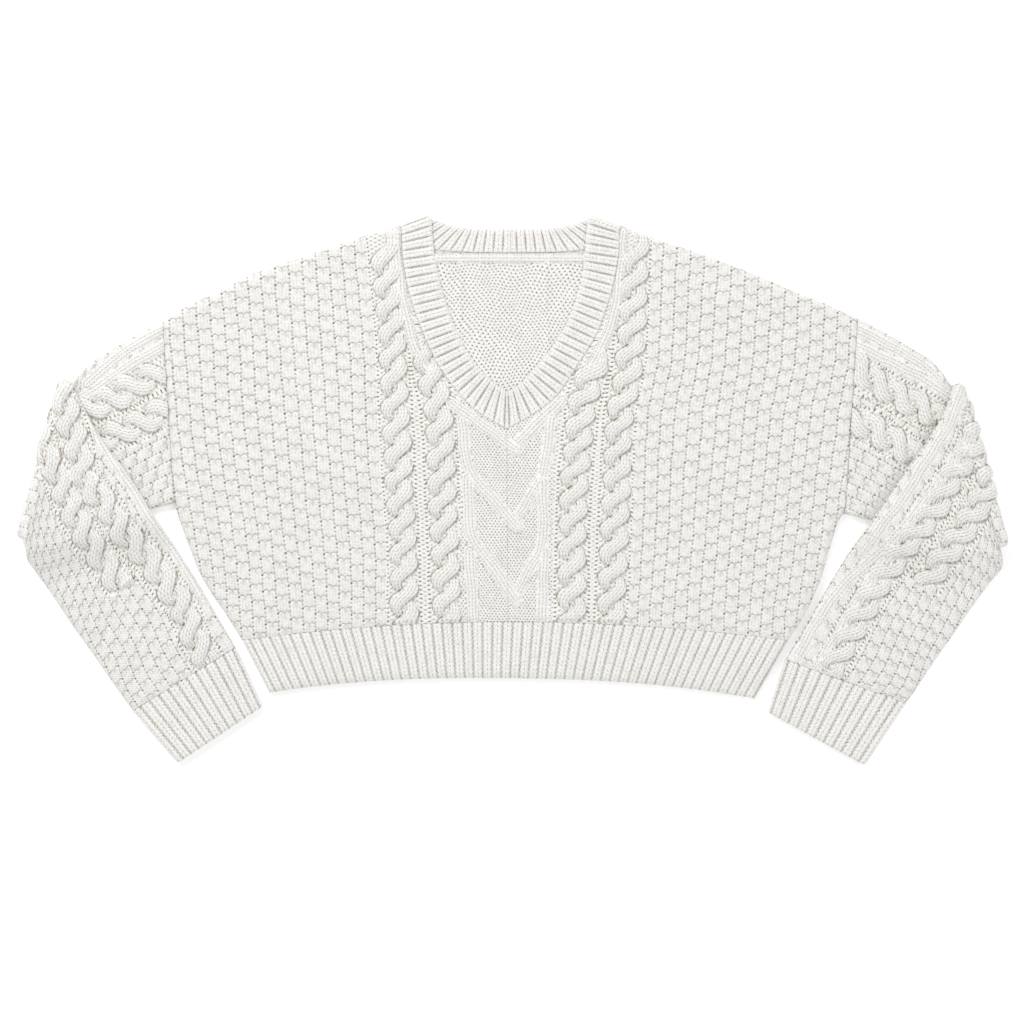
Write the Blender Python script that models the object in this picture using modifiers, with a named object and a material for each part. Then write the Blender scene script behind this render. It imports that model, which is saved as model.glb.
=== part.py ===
"""Cropped cable-knit sweater with a V neck, lying flat on its back.

The back rests on the surface and the front lies on it. Each sleeve is a flattened tube that runs out
from the armhole, turns back over itself at the elbow and comes down beside the body.
Lengths are millimetres until the points are made: x to the right, y towards the neck, z up.
"""
import math

import bmesh
import bpy
from mathutils import Vector

MM = 0.001

# The cloth and how it is stacked.
WALL = 4.0
LAYER_GAP = 1.0
STACK = 2 * WALL + LAYER_GAP
BACK_LEVEL = WALL / 2
FRONT_LEVEL = STACK - WALL / 2
ROUND = LAYER_GAP / 2 + WALL / 2
HALF_SEAM = 0.15
EDGE_ROUND = 1.2
EDGE_STEPS = 2

# The elbow: the sleeve turns over a hinge line just above its own top.
FOLD_CLEARANCE = 0.75
HINGE_HEIGHT = STACK + FOLD_CLEARANCE
FOLD_STEPS = 6
DECK = STACK + 2 * FOLD_CLEARANCE
DRAPE_START = 2.0
DRAPE_RUN = 44.0

# How finely each piece is divided.
PANEL_ROWS = 14
PANEL_COLUMNS = 11
RIB_COLUMNS = 26
RIB_ROWS = 2
SLEEVE_SPANS = 7
CUFF_ROWS = 3
ROUND_STEPS = 4

CLOTH_COLOUR = (0.86, 0.85, 0.82, 1.0)
CLOTH_ROUGHNESS = 0.92

# The body's corners, and how far each side bows out from the straight line between them.
CENTRE_X = -2.0
SHOULDER_NECK = {"left": (-112.0, 264.5), "right": (109.0, 264.5)}
SHOULDER_TIP = {"left": (-349.0, 168.0), "right": (346.0, 171.0)}
UNDERARM = {"left": (-338.0, -13.5), "right": (333.0, -24.0)}
RIB_CORNER = {"left": (-270.0, -151.0), "right": (277.0, -151.0)}
HEM_CORNER = {"left": (-243.0, -203.5), "right": (243.0, -209.5)}
SHOULDER_BOW = {"left": 9.5, "right": 4.0}
SIDE_BOW = {"left": 8.0, "right": 5.0}
RIB_TOP_CENTRE = -132.5
HEM_CENTRE = -189.0

# The neckband from centre front to centre back: where it is linked on, and its free edge.
#          link x   link y   free x   free y
NECK_FRONT = {
    "left": [
        (-5.0, 60.5, -5.0, 97.5),
        (-34.0, 77.5, -18.0, 107.5),
        (-55.0, 98.5, -31.0, 119.5),
        (-77.0, 129.5, -48.0, 143.5),
        (-94.0, 169.5, -63.0, 178.5),
        (-104.0, 201.5, -72.0, 208.5),
        (-110.0, 234.5, -78.0, 239.5),
        (-110.5, 260.0, -80.5, 271.0),
    ],
    "right": [
        (-5.0, 60.5, -5.0, 97.5),
        (23.0, 76.5, 7.0, 105.5),
        (45.0, 94.5, 19.0, 116.5),
        (67.0, 126.5, 39.0, 141.5),
        (86.0, 158.5, 57.0, 171.5),
        (100.0, 199.5, 69.0, 208.5),
        (107.0, 234.5, 73.0, 239.5),
        (107.5, 260.0, 75.5, 271.0),
    ],
}
NECK_BACK = {
    "left": [
        (-110.5, 260.0, -80.5, 271.0),
        (-104.0, 254.0, -74.0, 269.0),
        (-92.0, 246.0, -64.0, 265.5),
        (-74.0, 240.0, -52.0, 263.0),
        (-40.0, 237.5, -34.0, 261.5),
        (-2.0, 237.0, -2.0, 261.0),
    ],
    "right": [
        (107.5, 260.0, 75.5, 271.0),
        (101.0, 254.0, 69.0, 269.0),
        (89.0, 246.0, 60.0, 265.5),
        (71.0, 240.0, 48.0, 263.0),
        (37.0, 237.5, 31.0, 261.5),
        (-2.0, 237.0, -2.0, 261.0),
    ],
}

# The upper sleeve from the armhole to the elbow's hinge line.
#          upper x  upper y  lower x  lower y
UPPER_SLEEVE = {
    "left": [
        (-349.0, 168.0, -338.0, -13.5),
        (-376.0, 154.0, -365.0, -20.0),
        (-400.0, 140.0, -396.0, -27.0),
        (-424.0, 124.0, -434.0, -36.5),
        (-441.0, 107.0, -486.0, -50.0),
    ],
    "right": [
        (346.0, 171.0, 333.0, -24.0),
        (373.0, 157.0, 362.0, -31.0),
        (400.0, 141.0, 396.0, -38.5),
        (424.0, 125.0, 434.0, -46.5),
        (440.5, 104.0, 487.0, -58.0),
    ],
}

# The forearm from the hinge line to the top of the cuff.
#          inner x  inner y  outer x  outer y
FOREARM = {
    "left": [
        (-441.0, 107.0, -486.0, -50.0),
        (-429.0, 85.5, -483.0, -70.5),
        (-417.0, 62.5, -475.0, -83.5),
        (-402.0, 39.5, -465.0, -98.5),
        (-382.0, 13.5, -454.0, -114.5),
        (-363.0, -17.5, -440.0, -135.5),
        (-336.0, -60.5, -422.0, -160.5),
        (-317.0, -90.5, -406.0, -183.5),
        (-295.0, -128.5, -392.0, -203.5),
        (-277.0, -158.5, -379.0, -221.5),
    ],
    "right": [
        (440.5, 104.0, 487.0, -58.0),
        (430.0, 76.0, 489.0, -76.0),
        (412.0, 45.5, 480.0, -90.0),
        (396.0, 23.5, 469.0, -106.0),
        (379.0, -2.0, 457.0, -122.0),
        (361.0, -28.0, 443.0, -143.0),
        (340.0, -59.0, 428.0, -164.0),
        (320.0, -92.0, 415.0, -183.0),
        (297.0, -130.0, 404.0, -200.0),
        (274.0, -170.5, 394.0, -214.0),
    ],
}
CUFF_END = {
    "left": (-250.0, -217.5, -334.0, -273.5),
    "right": (256.5, -223.0, 353.0, -276.0),
}

SIDES = ("left", "right")


# Plane geometry.

def mix(a, b, t):
    """The point a share t of the way from a to b."""
    return tuple(p + (q - p) * t for p, q in zip(a, b))


def unit(a, b):
    """The unit vector from a to b in the plane."""
    length = math.dist(a, b)
    return ((b[0] - a[0]) / length, (b[1] - a[1]) / length)


def shifted(point, direction, distance):
    return (point[0] + direction[0] * distance, point[1] + direction[1] * distance)


def bowed(a, b, rise, steps):
    """Points along a shallow arch from a to b that stands rise to the left of the straight line."""
    dx, dy = unit(a, b)
    line = [mix(a, b, i / steps) for i in range(steps + 1)]
    return [shifted(p, (-dy, dx), 4 * rise * (i / steps) * (1 - i / steps)) for i, p in enumerate(line)]


def spread(points, count):
    """The polyline read at count + 1 places, evenly spaced along it."""
    lengths = [0.0]
    for a, b in zip(points, points[1:]):
        lengths.append(lengths[-1] + math.dist(a, b))
    result = []
    for i in range(count + 1):
        target = lengths[-1] * i / count
        k = next(k for k in range(1, len(points)) if lengths[k] >= target - 1e-9)
        result.append(mix(points[k - 1], points[k], (target - lengths[k - 1]) / (lengths[k] - lengths[k - 1])))
    return result


def filled_rows(bottom, top, start, end):
    """Rows of points that fill the space between four edges that meet at the corners."""
    rows = []
    for j in range(len(start)):
        v = j / (len(start) - 1)
        row = []
        for i in range(len(bottom)):
            u = i / (len(bottom) - 1)
            along = mix(start[j], end[j], u)
            across = mix(bottom[i], top[i], v)
            corners = mix(mix(start[0], end[0], u), mix(start[-1], end[-1], u), v)
            row.append(tuple(p + q - r for p, q, r in zip(along, across, corners)))
        rows.append(row)
    return rows


# Blender objects.

def emptied_scene():
    for old in list(bpy.data.objects):
        bpy.data.objects.remove(old)
    collection = bpy.data.collections.new("cropped_knit_sweater")
    bpy.context.scene.collection.children.link(collection)
    return collection


def cloth_material(name):
    material = bpy.data.materials.new(name)
    material.use_nodes = True
    shader = material.node_tree.nodes["Principled BSDF"]
    shader.inputs["Base Color"].default_value = CLOTH_COLOUR
    shader.inputs["Roughness"].default_value = CLOTH_ROUGHNESS
    return material


def cloth_piece(collection, name, patches, closed=False, looped=False):
    """A solid wall of cloth about the surface through rows of points.

    closed joins each row's end to its start, and looped joins the last row to the first.
    """
    mesh = bmesh.new()
    for rows in patches:
        grid = [[mesh.verts.new(Vector(point) * MM) for point in row] for row in rows]
        if looped:
            grid.append(grid[0])
        for lower, upper in zip(grid, grid[1:]):
            count = len(lower)
            for i in range(count if closed else count - 1):
                k = (i + 1) % count
                mesh.faces.new((lower[i], lower[k], upper[k], upper[i]))
    bmesh.ops.remove_doubles(mesh, verts=mesh.verts[:], dist=0.00001)
    bmesh.ops.recalc_face_normals(mesh, faces=mesh.faces[:])
    data = bpy.data.meshes.new(name)
    mesh.to_mesh(data)
    mesh.free()
    data.shade_smooth()
    data.set_sharp_from_angle(angle=math.radians(50))
    data.materials.append(cloth_material(name))
    piece = bpy.data.objects.new(name, data)
    collection.objects.link(piece)
    wall = piece.modifiers.new("wall", "SOLIDIFY")
    wall.thickness = WALL * MM
    wall.offset = 0.0
    wall.use_even_offset = True
    edge = piece.modifiers.new("edge", "BEVEL")
    edge.width = EDGE_ROUND * MM
    edge.segments = EDGE_STEPS
    edge.limit_method = "ANGLE"
    edge.angle_limit = math.radians(60)
    return piece


# The body: front, back and their welts.

def side_edge(side):
    """The body's outer edge from the top of the welt up the side and the armhole to the shoulder's tip."""
    outward = 1 if side == "left" else -1
    flank = bowed(RIB_CORNER[side], UNDERARM[side], outward * SIDE_BOW[side], 8)
    inward = (outward, 0.0)
    armhole = [shifted(UNDERARM[side], inward, HALF_SEAM), shifted(SHOULDER_TIP[side], inward, HALF_SEAM)]
    return flank[:-1] + armhole


def rib_top(side, offset):
    """The line from the side to the centre where the panel meets the welt, moved up by offset."""
    corner = RIB_CORNER[side]
    rise = RIB_TOP_CENTRE - corner[1]
    reach = CENTRE_X - corner[0]
    points = []
    for i in range(PANEL_COLUMNS + 1):
        t = i / PANEL_COLUMNS
        points.append((corner[0] + reach * t, corner[1] + rise * (1 - (1 - t) ** 2) + offset))
    return points


def shoulder(side):
    """The shoulder line from its tip to the neck."""
    outward = -1 if side == "left" else 1
    inset = shifted(SHOULDER_TIP[side], (-outward, 0.0), HALF_SEAM)
    return bowed(inset, SHOULDER_NECK[side], -outward * SHOULDER_BOW[side], 6)


def neck_seam(rows, distance):
    """The neckband's linked edge, moved by distance towards its free edge."""
    return [shifted(row[:2], unit(row[:2], row[2:]), distance) for row in rows]


def front_half(side):
    """Rows of the front on one side: each runs from the outer edge to the centre or the neckband."""
    seam = neck_seam(NECK_FRONT[side], -HALF_SEAM) + [SHOULDER_NECK[side]]
    outer = side_edge(side)
    bottom = rib_top(side, HALF_SEAM)
    outer[0] = bottom[0]
    below = PANEL_ROWS // 2
    seam[0] = (NECK_FRONT[side][0][0], NECK_FRONT[side][0][1] - HALF_SEAM)
    middle = [mix(bottom[-1], seam[0], i / below) for i in range(below)]
    inner = middle + seam
    rows = filled_rows(bottom, spread(shoulder(side), PANEL_COLUMNS), spread(outer, len(inner) - 1), inner)
    return [[(x, y, FRONT_LEVEL) for x, y in row] for row in rows]


def back_half(side):
    """Rows of the back on one side: each runs from the outer edge to the centre line."""
    seam = neck_seam(NECK_BACK[side], -HALF_SEAM)
    seam[-1] = (CENTRE_X, seam[-1][1])
    outer = side_edge(side)
    bottom = rib_top(side, HALF_SEAM)
    outer[0] = bottom[0]
    across = len(seam) + PANEL_COLUMNS
    top = spread(shoulder(side), PANEL_COLUMNS) + seam
    low = spread(bottom, across)
    inner = [mix(low[-1], top[-1], i / PANEL_ROWS) for i in range(PANEL_ROWS + 1)]
    rows = filled_rows(low, top, spread(outer, PANEL_ROWS), inner)
    return [[(x, y, BACK_LEVEL) for x, y in row] for row in rows]


def welt(collection, name, level):
    """The ribbed welt below a panel, from side to side."""
    top = rib_top("left", -HALF_SEAM) + rib_top("right", -HALF_SEAM)[-2::-1]
    top = spread(top, RIB_COLUMNS)
    middle = (top[-1][0] + top[0][0]) / 2
    hem = []
    for i in range(RIB_COLUMNS + 1):
        t = i / RIB_COLUMNS
        x, y = mix(HEM_CORNER["left"], HEM_CORNER["right"], t)
        arch = HEM_CENTRE - (HEM_CORNER["left"][1] + HEM_CORNER["right"][1]) / 2
        hem.append((x, y + 4 * arch * t * (1 - t)))
    rows = [[(*mix(a, b, j / RIB_ROWS), level) for a, b in zip(top, hem)] for j in range(RIB_ROWS + 1)]
    return cloth_piece(collection, name, [rows])


# The neckband: a ring that lies on the front, folds down at each neck point and crosses the back.

def band_row(row, level, turn=0.0):
    """One row across the band. turn is the angle, in degrees, that it has rolled over at the neck point."""
    link, free = row[:2], row[2:]
    along = unit(link, free)
    link = shifted(link, along, HALF_SEAM)
    upward = (-along[1], along[0]) if along[0] > 0 else (along[1], -along[0])
    reach = ROUND * math.sin(math.radians(turn))
    points = [shifted(mix(link, free, t), upward, reach) for t in (0.0, 0.5, 1.0)]
    return [(x, y, level) for x, y in points]


def band_side(side):
    """Rows from just past centre front to just before centre back on one side."""
    rows = [band_row(row, FRONT_LEVEL) for row in NECK_FRONT[side]]
    middle = (FRONT_LEVEL + BACK_LEVEL) / 2
    for step in range(1, ROUND_STEPS):
        turn = 180.0 * step / ROUND_STEPS
        level = middle + ROUND * math.cos(math.radians(turn))
        rows.append(band_row(NECK_FRONT[side][-1], level, turn))
    rows += [band_row(row, BACK_LEVEL) for row in NECK_BACK[side]]
    return rows


def neckband(collection):
    left, right = band_side("left"), band_side("right")
    ring = left + right[-2:0:-1]
    return cloth_piece(collection, "neckband", [ring], looped=True)


# The sleeves and cuffs: flattened tubes.

def tube_section(row):
    """Points round a flattened tube between a row's two ends, as plane points and heights in the stack."""
    start, end = row[:2], row[2:]
    width = math.dist(start, end)
    along = unit(start, end)
    inset = WALL / 2 + ROUND
    ring = []
    for i in range(SLEEVE_SPANS + 1):
        ring.append((inset + (width - 2 * inset) * i / SLEEVE_SPANS, BACK_LEVEL))
    for i in range(1, ROUND_STEPS):
        angle = math.pi * i / ROUND_STEPS - math.pi / 2
        ring.append((width - inset + ROUND * math.cos(angle), STACK / 2 + ROUND * math.sin(angle)))
    for i in range(SLEEVE_SPANS + 1):
        ring.append((width - inset - (width - 2 * inset) * i / SLEEVE_SPANS, FRONT_LEVEL))
    for i in range(1, ROUND_STEPS):
        angle = math.pi / 2 - math.pi * i / ROUND_STEPS
        ring.append((inset - ROUND * math.cos(angle), STACK / 2 + ROUND * math.sin(angle)))
    return [(*shifted(start, along, u), w) for u, w in ring]


def elbow_row(row, turn, outward):
    """The tube's section at the hinge line, turned over it by an angle in degrees."""
    swing = math.radians(turn)
    points = []
    for x, y, w in tube_section(row):
        arm = HINGE_HEIGHT - w
        reach = arm * math.sin(swing)
        points.append((x + outward[0] * reach, y + outward[1] * reach, HINGE_HEIGHT - arm * math.cos(swing)))
    return points


def drape_level(x, y, side):
    """How high the forearm's underside lies: on the upper sleeve, then down past its lower edge."""
    near, far = UNDERARM[side], UPPER_SLEEVE[side][-1][2:]
    along = unit(near, far)
    down = (-along[1], along[0]) if side == "left" else (along[1], -along[0])
    past = (x - near[0]) * down[0] + (y - near[1]) * down[1]
    t = min(max((past - DRAPE_START) / DRAPE_RUN, 0.0), 1.0)
    return DECK * (1 - t * t * (3 - 2 * t))


def forearm_row(row, side):
    return [(x, y, drape_level(x, y, side) + STACK - w) for x, y, w in tube_section(row)]


def along_sleeve(row, other, distance):
    """The row moved by distance towards the next one."""
    start = shifted(row[:2], unit(row[:2], other[:2]), distance)
    end = shifted(row[2:], unit(row[2:], other[2:]), distance)
    return (*start, *end)


def sleeve(collection, side):
    upper, lower = list(UPPER_SLEEVE[side]), list(FOREARM[side])
    upper[0] = along_sleeve(upper[0], upper[1], HALF_SEAM)
    lower[-1] = along_sleeve(lower[-1], lower[-2], HALF_SEAM)
    hinge = upper[-1]
    along = unit(hinge[:2], hinge[2:])
    outward = (along[1], -along[0]) if side == "left" else (-along[1], along[0])
    rows = [tube_section(row) for row in upper]
    rows += [elbow_row(hinge, 180.0 * k / FOLD_STEPS, outward) for k in range(1, FOLD_STEPS + 1)]
    rows += [forearm_row(row, side) for row in lower[1:]]
    return cloth_piece(collection, side + "_sleeve", [rows], closed=True)


def cuff(collection, side):
    top = along_sleeve(FOREARM[side][-1], CUFF_END[side], HALF_SEAM)
    rows = [forearm_row(mix(top, CUFF_END[side], j / CUFF_ROWS), side) for j in range(CUFF_ROWS + 1)]
    return cloth_piece(collection, side + "_cuff", [rows], closed=True)


def main():
    collection = emptied_scene()
    cloth_piece(collection, "back_panel", [back_half(side) for side in SIDES])
    cloth_piece(collection, "front_panel", [front_half(side) for side in SIDES])
    welt(collection, "back_hem_rib", BACK_LEVEL)
    welt(collection, "front_hem_rib", FRONT_LEVEL)
    neckband(collection)
    for side in SIDES:
        sleeve(collection, side)
        cuff(collection, side)


main()
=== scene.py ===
"""Looks of a cropped cable-knit sweater, lying flat with both sleeves folded in at the elbow.

Each piece is a thin shell of knitting on the form of its solid. Its outer side is a fine grid whose
height comes from the stitches: ropes, basket blocks, ribs, travelling ribs and seed stitch.
Lengths are millimetres until a mesh is made: x to the right, y towards the neck, z up.
"""
import math

import bpy
import numpy as np
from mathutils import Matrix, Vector


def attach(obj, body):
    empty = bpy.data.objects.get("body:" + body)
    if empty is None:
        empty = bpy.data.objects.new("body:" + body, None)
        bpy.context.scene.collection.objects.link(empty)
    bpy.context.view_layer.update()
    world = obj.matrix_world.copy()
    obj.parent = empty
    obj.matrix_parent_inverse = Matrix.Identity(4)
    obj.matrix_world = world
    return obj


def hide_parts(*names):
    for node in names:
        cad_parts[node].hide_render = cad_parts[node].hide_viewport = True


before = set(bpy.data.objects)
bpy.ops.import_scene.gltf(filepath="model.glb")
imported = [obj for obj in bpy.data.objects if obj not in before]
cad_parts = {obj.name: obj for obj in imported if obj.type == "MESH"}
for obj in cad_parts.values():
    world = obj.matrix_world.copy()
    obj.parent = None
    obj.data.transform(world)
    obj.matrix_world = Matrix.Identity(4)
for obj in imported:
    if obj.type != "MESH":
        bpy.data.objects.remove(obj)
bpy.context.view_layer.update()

MM = 0.001

# The stack of two cloths, and the elbow's fold, in heights above the surface.
CLOTH = 3.5
SLIT = 1.0
TOP = 2 * CLOTH + SLIT
MIDDLE = TOP / 2
HINGE = TOP + 2.5
DECK = 2 * HINGE - TOP
DRAPE_START = 4.0
DRAPE_RUN = 46.0
EDGE_ROLL = 9.0
UNDER_RELIEF = 1.2
HALF_GAP = 0.3
HIDDEN = -9.0

# Grid spacing of each kind of surface.
FRONT_STEP = 1.15
SLEEVE_STEP = 1.3
RIB_STEP = 1.1
BAND_STEP = 1.0
BACK_STEP = 3.2
INSIDE_STEP = 1.1
COARSE = 6
SLEEVE_COLUMNS = 102
CUFF_COLUMNS = 96
CAP_COLUMNS = 12
FOLD_ROWS = 24

EDGE_POINTS = 400

WELT_RIBS = 54
CUFF_RIBS = 11
BAND_RIB = 9.0
BAND_WIDTH = 34.0
BAND_TROUGH = 0.125

# Camera and light.
VIEW_WIDTH = 1.024
VIEW_CENTRE_Y = -0.0225
WORLD_STRENGTH = 0.72
KEY_POWER = 29.0
FILL_POWER = 9.0

LIGHT_YARN = (0.95, 0.942, 0.92)
# The colour of shade painted into holes, lines and creases.
SHADED_YARN = (0.25, 0.20, 0.13)
BUMP_STRENGTH = 0.6

SIDES = ("left", "right")

# The body's outline: the shoulder from its tip to the neck, and the flank from the welt to the armhole.
CENTRE_X = -4.0
SHOULDER = {
    "left": [(-349, 168.5), (-328, 182.5), (-304, 194.5), (-280, 205.5), (-256, 217.5), (-208, 233.5),
             (-160, 250.5), (-136, 257.5), (-112, 264.5)],
    "right": [(346, 171.5), (332, 177.5), (308, 188.5), (284, 197.5), (236, 218.5), (188, 236.5),
              (140, 252.5), (109, 264.5)],
}
FLANK = {
    "left": [(-270, -151), (-287, -124), (-309, -90.5), (-322, -60.5), (-333, -30.5), (-338, -13.5)],
    "right": [(277, -151), (295, -122), (309, -90.5), (318, -60.5), (327, -30.5), (333, -24)],
}
HEM_CORNER = {"left": (-243.0, -203.5), "right": (243.0, -209.5)}
RIB_TOP_CENTRE = -132.5
HEM_CENTRE = -189.0

# The neckband from centre front over the neck point to centre back.
#          link x  link y  free x  free y
NECK_FRONT = {
    "left": [(-5, 60.5, -5, 97.5), (-34, 77.5, -18, 107.5), (-55, 98.5, -31, 119.5),
             (-77, 129.5, -48, 143.5), (-94, 169.5, -63, 178.5), (-104, 201.5, -72, 208.5),
             (-110, 234.5, -78, 239.5), (-110.5, 260, -80.5, 271)],
    "right": [(-5, 60.5, -5, 97.5), (23, 76.5, 7, 105.5), (45, 94.5, 19, 116.5), (67, 126.5, 39, 141.5),
              (86, 158.5, 57, 171.5), (100, 199.5, 69, 208.5), (107, 234.5, 73, 239.5),
              (107.5, 260, 75.5, 271)],
}
NECK_BACK = {
    "left": [(-110.5, 260, -80.5, 271), (-104, 254, -74, 269), (-92, 246, -64, 265.5),
             (-74, 240, -52, 263), (-40, 237.5, -34, 261.5), (-2, 237, -2, 261)],
    "right": [(107.5, 260, 75.5, 271), (101, 254, 69, 269), (89, 246, 60, 265.5),
              (71, 240, 48, 263), (37, 237.5, 31, 261.5), (-2, 237, -2, 261)],
}

# The upper sleeve from the armhole to the elbow's hinge line.
#          upper x upper y lower x lower y
UPPER_SLEEVE = {
    "left": [(-349, 168, -338, -13.5), (-376, 154, -365, -20), (-400, 140, -396, -27),
             (-424, 124, -434, -36.5), (-440, 107, -484.5, -50)],
    "right": [(346, 171, 333, -24), (373, 157, 362, -31), (400, 141, 396, -38.5),
              (424, 125, 434, -46.5), (439.5, 104, 485.5, -58)],
}
# The forearm from the hinge line to the top of the cuff, then the cuff's end.
#          inner x inner y outer x outer y
FOREARM = {
    "left": [(-440, 107, -484.5, -50), (-429, 85.5, -483, -70.5), (-417, 62.5, -475, -83.5),
             (-402, 39.5, -465, -98.5), (-382, 13.5, -454, -114.5), (-363, -17.5, -440, -135.5),
             (-336, -60.5, -422, -160.5), (-317, -90.5, -406, -183.5), (-295, -128.5, -392, -203.5),
             (-277, -158.5, -379, -221.5)],
    "right": [(439.5, 104, 485.5, -58), (430, 76, 489, -76), (412, 45.5, 480, -90),
              (396, 23.5, 469, -106), (379, -2, 457, -122), (361, -28, 443, -143), (340, -59, 428, -164),
              (320, -92, 415, -183), (297, -130, 404, -200), (274, -170.5, 394, -214)],
}
CUFF_END = {"left": (-250, -217.5, -334, -273.5), "right": (256.5, -223, 353, -276)}

# Ropes on the front, outer then inner: the middle line from the top down, and where the first lobe starts.
ROPES = {
    "left": [
        {"line": [(-128, 252), (-119, 133.5), (-112, -0.5), (-108, -70), (-107, -130)], "start": -2.0},
        {"line": [(-89, 150), (-74.5, 79.5), (-70.4, 4), (-66.2, -70), (-66, -130)], "start": -4.0},
    ],
    "right": [
        {"line": [(124, 252), (117, 127.5), (108, 79.5), (104.8, 24.5), (102.6, -40), (98, -130)],
         "start": -2.0},
        {"line": [(84, 131), (70.5, 86.5), (63.7, 24.5), (61.2, -40), (59.5, -130)], "start": -4.0},
    ],
}
ROPE_PITCH = 24.4
ROPE_SWING = 7.8
ROPE_HEIGHT = 5.4
# A lobe: how far its widest turn lies below its head, and its half width and lift on the way down.
HEAD_RISE = 7.0
LOBE_PLACES = (-3.0, 0.0, 6.0, 12.2, 18.0, 24.4, 31.4)
LOBE_HALF = (4.6, 5.9, 8.0, 9.2, 8.2, 6.0, 3.0)
LOBE_LIFT = (0.55, 0.72, 0.92, 1.0, 0.9, 0.7, 0.4)
WALE = 3.0
COURSE = 3.6

# Travelling ribs of the centre panel. At each point the left arm passes over the right one.
UNDER_ARMS = [
    [(51, 89.5), (28, 67), (4, 44)],
    [(39, 70.5), (32, 18.5), (16, -12), (4, -31)],
    [(31, 11.5), (31, -52.5), (17, -82), (5, -104)],
    [(32, -61.5), (31, -131)],
]
OVER_ARMS = [
    [(-61, 86.5), (-30, 65), (4, 40)],
    [(-51, 70.5), (-43, 18.5), (-20, -10), (4, -39)],
    [(-45, 11.5), (-41, -44.5), (-20, -77), (5, -112)],
    [(-43, -61.5), (-39, -131)],
]
# Ribs that run down beside the neckband.
NECK_CORDS = {
    "left": [(-116, 258), (-113, 227), (-107.5, 184.5), (-97, 143), (-84, 120)],
    "right": [(111, 258), (107, 218), (102, 175), (91, 143), (77, 120)],
}

# Ropes on the sleeves: the middle line outwards from the armhole, or down the forearm.
SLEEVE_ROPES = {
    "left": {
        "upper": [
            [(-338, 124), (-361, 112), (-381, 102), (-395, 93), (-409, 87), (-445, 66)],
            [(-330, 88), (-352, 78), (-366, 70), (-381, 63), (-406, 52), (-440, 34)],
        ],
        "forearm": [
            [(-476, 182), (-442, 75), (-430, 36), (-422, 6), (-402, -17), (-389, -40), (-374, -57),
             (-359, -74), (-342, -100), (-330, -117), (-319, -144), (-300, -178)],
            [(-500, 160), (-470, 50), (-456, 24), (-447, 4), (-438, -19), (-427, -42), (-416, -60),
             (-403, -79), (-388, -98)],
        ],
    },
    "right": {
        "upper": [
            [(334, 131), (347, 122), (361, 108), (377, 98), (391, 89), (408, 83), (436, 66)],
            [(325, 73), (337, 69), (357, 63), (369, 55), (385, 46), (397, 38), (430, 20)],
        ],
        "forearm": [
            [(494, 150), (461, 52.5), (451, 32.5), (435, 9.5), (425, -10.5), (408, -33.5), (393, -53.5),
             (380, -73.5), (365, -93.5), (351, -117.5), (340, -137.5), (328, -160.5), (314, -190)],
            [(512, 130), (480, 30), (474, 5), (465, -15), (453, -33), (443, -48), (431, -64), (421, -80),
             (412, -98)],
        ],
    },
}
# Travelling ribs of the sleeves.
SLEEVE_CORDS = {
    "left": {
        "upper": [[(-340, 147), (-380, 124), (-415, 100), (-450, 76)],
                  [(-340, 164), (-372, 145), (-398, 128), (-425, 104)]],
        "forearm": [[(-428, 108), (-412, 62), (-395, 30), (-376, 0), (-352, -38), (-331, -72), (-310, -106)],
                    [(-322, -72), (-306, -98), (-288, -127), (-268, -160)]],
    },
    "right": {
        "upper": [[(336, 147), (348, 141), (380, 126), (415, 108), (445, 90)],
                  [(344, 160), (372, 146), (400, 130), (425, 110)]],
        "forearm": [[(448, 100), (438, 70), (420, 40), (404, 16), (388, -10), (372, -32), (352, -62)],
                    [(462, 62), (446, 38), (424, 6), (408, -14), (390, -38), (366, -66), (334, -92),
                     (308, -128), (286, -166)],
                    [(384, -60), (362, -86), (342, -116), (324, -148), (304, -180)]],
    },
}

# Stitches: pitches and widths, in millimetres unless said otherwise.
ROPE_GAP = 19.0
ROPE_MARGIN = 16.0
CORD_WALE = 3.3
BLOCK_COLUMN = 13.4
BLOCK_PERIOD = 16.2
SLEEVE_BLOCK = 12.6
HOLE = 1.48
HOLES = 4.0
PURL_WIDTH = 3.5
PURL_ROW = 2.6
PURL_FIELD = (-54.0, 43.0)
RUNG = 4.3
RUNG_OUT = 16.5
RUNG_STEP = 4.2
# How high the two arches of a block's lower edge are, in blocks.
SCALLOP = 0.13
# Where a trough lies in each rib, and the half width under which it is drawn as a plain line, in ribs.
TROUGH_PLACE = 0.75
NARROW_TROUGH = 0.16
# How far the wrong side's stitches are stretched and how much more they wander than the others.
INSIDE_STRETCH = 1.25
INSIDE_WANDER = 2.8
# Where each side's blocks start beside its outer rope, how far down, and how far each column is moved.
BLOCK_FIELD = {
    "left": {"beside": -16.0, "down": 3.6, "shift": 0.35},
    "right": {"beside": 15.0, "down": 0.0, "shift": -0.42},
}
SLEEVE_SHIFT = {"left": 0.37, "right": -0.4}


# Curves and grids.

def lengths_of(points):
    """The distance run along a polyline up to each of its points."""
    steps = np.linalg.norm(np.diff(points, axis=0), axis=1)
    return np.concatenate([[0.0], np.cumsum(steps)])


def spread(points, count):
    """The polyline read at count places, evenly spaced along it."""
    points = np.asarray(points, float)
    run = lengths_of(points)
    at = np.linspace(0.0, run[-1], count)
    return np.stack([np.interp(at, run, points[:, i]) for i in range(points.shape[1])], axis=1)


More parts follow.
